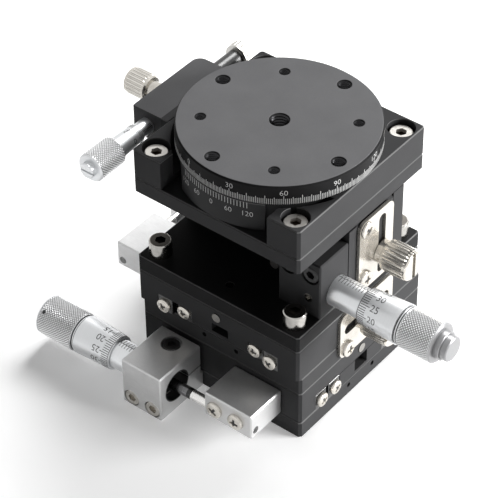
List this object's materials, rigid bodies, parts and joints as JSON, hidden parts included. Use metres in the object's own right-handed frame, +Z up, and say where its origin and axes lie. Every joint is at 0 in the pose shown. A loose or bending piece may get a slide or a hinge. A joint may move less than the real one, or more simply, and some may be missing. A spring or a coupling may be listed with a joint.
{
  "type": "four-axis micro stage",
  "caption": "Precision positioning stage: crossed-roller X and Y slides, a crank-driven Z lift and a rotary table, each with a micrometer and a clamp.",
  "frame": {"origin": "centre of the underside of the lowest plate", "axes": "+Z up, +X along the X slide's travel towards its lock end, +Y along the Y slide's travel; the X micrometer is on -Y"},
  "size_m": [0.1284, 0.1066, 0.088],
  "materials": {
    "black_anodised": "satin black anodised",
    "natural_aluminium": "bead-blasted, clear anodised",
    "satin_chrome": "satin chrome with black lines and numbers",
    "nickel": "bright nickel plate",
    "black_steel": "black oxide",
    "ground_steel": "ground steel"
  },
  "bodies": {
    "base": {"x_base": "black_anodised", "x_fixed_rails": "ground_steel", "x_base_fasteners": "nickel", "x_lock_plate": "nickel", "x_mic_block": "natural_aluminium", "x_block_screws": "black_steel", "x_sleeve": "satin_chrome", "x_spring": "ground_steel"},
    "x_spindle": {"x_spindle": "ground_steel"},
    "x_thimble": {"x_thimble": "satin_chrome"},
    "x_cages": {"x_roller_cages": "ground_steel"},
    "x_carriage": {"x_table": "black_anodised", "x_moving_rails": "ground_steel", "x_table_fasteners": "nickel", "x_stop_block": "natural_aluminium", "y_base": "black_anodised", "y_fixed_rails": "ground_steel", "y_base_fasteners": "nickel", "y_lock_plate": "nickel", "y_mic_block": "natural_aluminium", "y_block_screws": "black_steel", "y_sleeve": "satin_chrome", "y_spring": "ground_steel"},
    "x_lock": {"x_lock_knob": "nickel"},
    "y_spindle": {"y_spindle": "ground_steel"},
    "y_thimble": {"y_thimble": "satin_chrome"},
    "y_cages": {"y_roller_cages": "ground_steel"},
    "y_carriage": {"y_table": "black_anodised", "y_moving_rails": "ground_steel", "y_table_fasteners": "nickel", "y_stop_block": "natural_aluminium", "z_base_plate": "black_anodised", "z_socket_screws": "nickel", "z_fixed_stage": "black_anodised", "z_lock_plate": "nickel", "z_fixed_fasteners": "nickel", "z_pillar": "black_anodised", "z_sleeve": "satin_chrome", "z_spring": "ground_steel"},
    "y_lock": {"y_lock_knob": "nickel"},
    "z_spindle": {"z_spindle": "ground_steel"},
    "z_thimble": {"z_thimble": "satin_chrome"},
    "z_cages": {"z_roller_cages": "ground_steel"},
    "z_lever": {"z_lever": "black_steel"},
    "z_carriage": {"z_moving_wall": "black_anodised", "z_top_plate": "black_anodised", "rotary_body": "black_anodised", "rotary_screws": "nickel", "vernier_plate": "black_anodised", "fine_block": "black_anodised", "fine_sleeve": "satin_chrome", "plunger_barrel": "nickel"},
    "z_lock": {"z_lock_knob": "nickel"},
    "fine_ring": {"fine_ring": "black_anodised"},
    "table": {"rotary_table": "black_anodised", "table_retainer": "ground_steel"},
    "r_spindle": {"fine_spindle": "ground_steel"},
    "r_thimble": {"fine_thimble": "satin_chrome"},
    "r_pin": {"plunger_pin": "ground_steel"},
    "r_clamp": {"clamp_knob": "nickel"}
  },
  "joints": [
    {"name": "x_thimble_spin", "type": "hinge", "parent": "x_spindle", "child": "x_thimble", "pos_m": [-0.03, -0.0423, 0.0095], "axis": [1, 0, 0], "range_deg": [-4690, 4690]},
    {"name": "x_spindle_slide", "type": "slide", "parent": "base", "child": "x_spindle", "axis": [1, 0, 0], "range_m": [-0.00651, 0.00651]},
    {"name": "x_slide", "type": "slide", "parent": "base", "child": "x_carriage", "axis": [1, 0, 0], "range_m": [-0.0065, 0.0065], "deforming": ["x_spring"]},
    {"name": "x_cage_slide", "type": "slide", "parent": "base", "child": "x_cages", "axis": [1, 0, 0], "range_m": [-0.00326, 0.00326]},
    {"name": "x_lock_turn", "type": "hinge", "parent": "x_carriage", "child": "x_lock", "pos_m": [0, 0.036, 0.0114], "axis": [0, 1, 0], "range_deg": [0, 360]},
    {"name": "y_thimble_spin", "type": "hinge", "parent": "y_spindle", "child": "y_thimble", "pos_m": [-0.0423, 0.03, 0.0275], "axis": [0, -1, 0], "range_deg": [-5698, 3682]},
    {"name": "y_spindle_slide", "type": "slide", "parent": "x_carriage", "child": "y_spindle", "axis": [0, -1, 0], "range_m": [-0.00791, 0.00511]},
    {"name": "y_slide", "type": "slide", "parent": "x_carriage", "child": "y_carriage", "axis": [0, 1, 0], "range_m": [-0.0051, 0.0079], "deforming": ["y_spring"]},
    {"name": "y_cage_slide", "type": "slide", "parent": "x_carriage", "child": "y_cages", "axis": [0, 1, 0], "range_m": [-0.00256, 0.00396]},
    {"name": "y_lock_turn", "type": "hinge", "parent": "y_carriage", "child": "y_lock", "pos_m": [0.036, -0.0014, 0.0294], "axis": [1, 0, 0], "range_deg": [0, 360]},
    {"name": "z_thimble_spin", "type": "hinge", "parent": "z_spindle", "child": "z_thimble", "pos_m": [0.05, -0.0133, 0.0479], "axis": [-1, 0, 0], "range_deg": [0, 5770]},
    {"name": "z_spindle_slide", "type": "slide", "parent": "y_carriage", "child": "z_spindle", "axis": [-1, 0, 0], "range_m": [0, 0.00801]},
    {"name": "z_slide", "type": "slide", "parent": "y_carriage", "child": "z_carriage", "axis": [0, 0, 1], "range_m": [0, 0.008], "deforming": ["z_spring"]},
    {"name": "z_cage_slide", "type": "slide", "parent": "y_carriage", "child": "z_cages", "axis": [0, 0, 1], "range_m": [0, 0.00401]},
    {"name": "z_lever_swing", "type": "hinge", "parent": "y_carriage", "child": "z_lever", "pos_m": [0.0055, -0.0133, 0.061], "axis": [0, 1, 0], "range_deg": [0, 35.6]},
    {"name": "z_lock_turn", "type": "hinge", "parent": "z_carriage", "child": "z_lock", "pos_m": [0.036, 0.0071, 0.0492], "axis": [1, 0, 0], "range_deg": [0, 360]},
    {"name": "fine_thimble_spin", "type": "hinge", "parent": "r_spindle", "child": "r_thimble", "pos_m": [-0.0378, -0.03, 0.0765], "axis": [0, 1, 0], "range_deg": [-2350, 2350]},
    {"name": "fine_spindle_slide", "type": "slide", "parent": "z_carriage", "child": "r_spindle", "axis": [0, 1, 0], "range_m": [-0.00326, 0.00326]},
    {"name": "fine_swing", "type": "hinge", "parent": "z_carriage", "child": "fine_ring", "pos_m": [0, -0.0014, 0.0775], "axis": [0, 0, 1], "range_deg": [-4.93, 4.93]},
    {"name": "plunger_slide", "type": "slide", "parent": "z_carriage", "child": "r_pin", "axis": [0, 1, 0], "range_m": [-0.00326, 0.00326]},
    {"name": "table_spin", "type": "hinge", "parent": "fine_ring", "child": "table", "pos_m": [0, -0.0014, 0.08], "axis": [0, 0, 1], "continuous": true},
    {"name": "clamp_turn", "type": "hinge", "parent": "fine_ring", "child": "r_clamp", "pos_m": [-0.05, -0.0014, 0.0765], "axis": [-1, 0, 0], "range_deg": [0, 360]}
  ],
  "couplings": [
    {"joint": "x_spindle_slide", "follows": "x_slide", "ratio": 1},
    {"joint": "x_thimble_spin", "follows": "x_slide", "rad_per_m": 12566},
    {"joint": "x_cage_slide", "follows": "x_slide", "ratio": 0.5},
    {"joint": "y_spindle_slide", "follows": "y_slide", "ratio": -1},
    {"joint": "y_thimble_spin", "follows": "y_slide", "rad_per_m": -12566},
    {"joint": "y_cage_slide", "follows": "y_slide", "ratio": 0.5},
    {"joint": "z_spindle_slide", "follows": "z_slide", "ratio": 1},
    {"joint": "z_thimble_spin", "follows": "z_slide", "rad_per_m": 12566},
    {"joint": "z_cage_slide", "follows": "z_slide", "ratio": 0.5},
    {"joint": "z_lever_swing", "follows": "z_slide", "rad_per_m": 77.602},
    {"joint": "fine_spindle_slide", "follows": "fine_swing", "m_per_rad": -0.0378},
    {"joint": "fine_thimble_spin", "follows": "fine_swing", "ratio": -475.01},
    {"joint": "plunger_slide", "follows": "fine_swing", "m_per_rad": -0.0378}
  ]
}
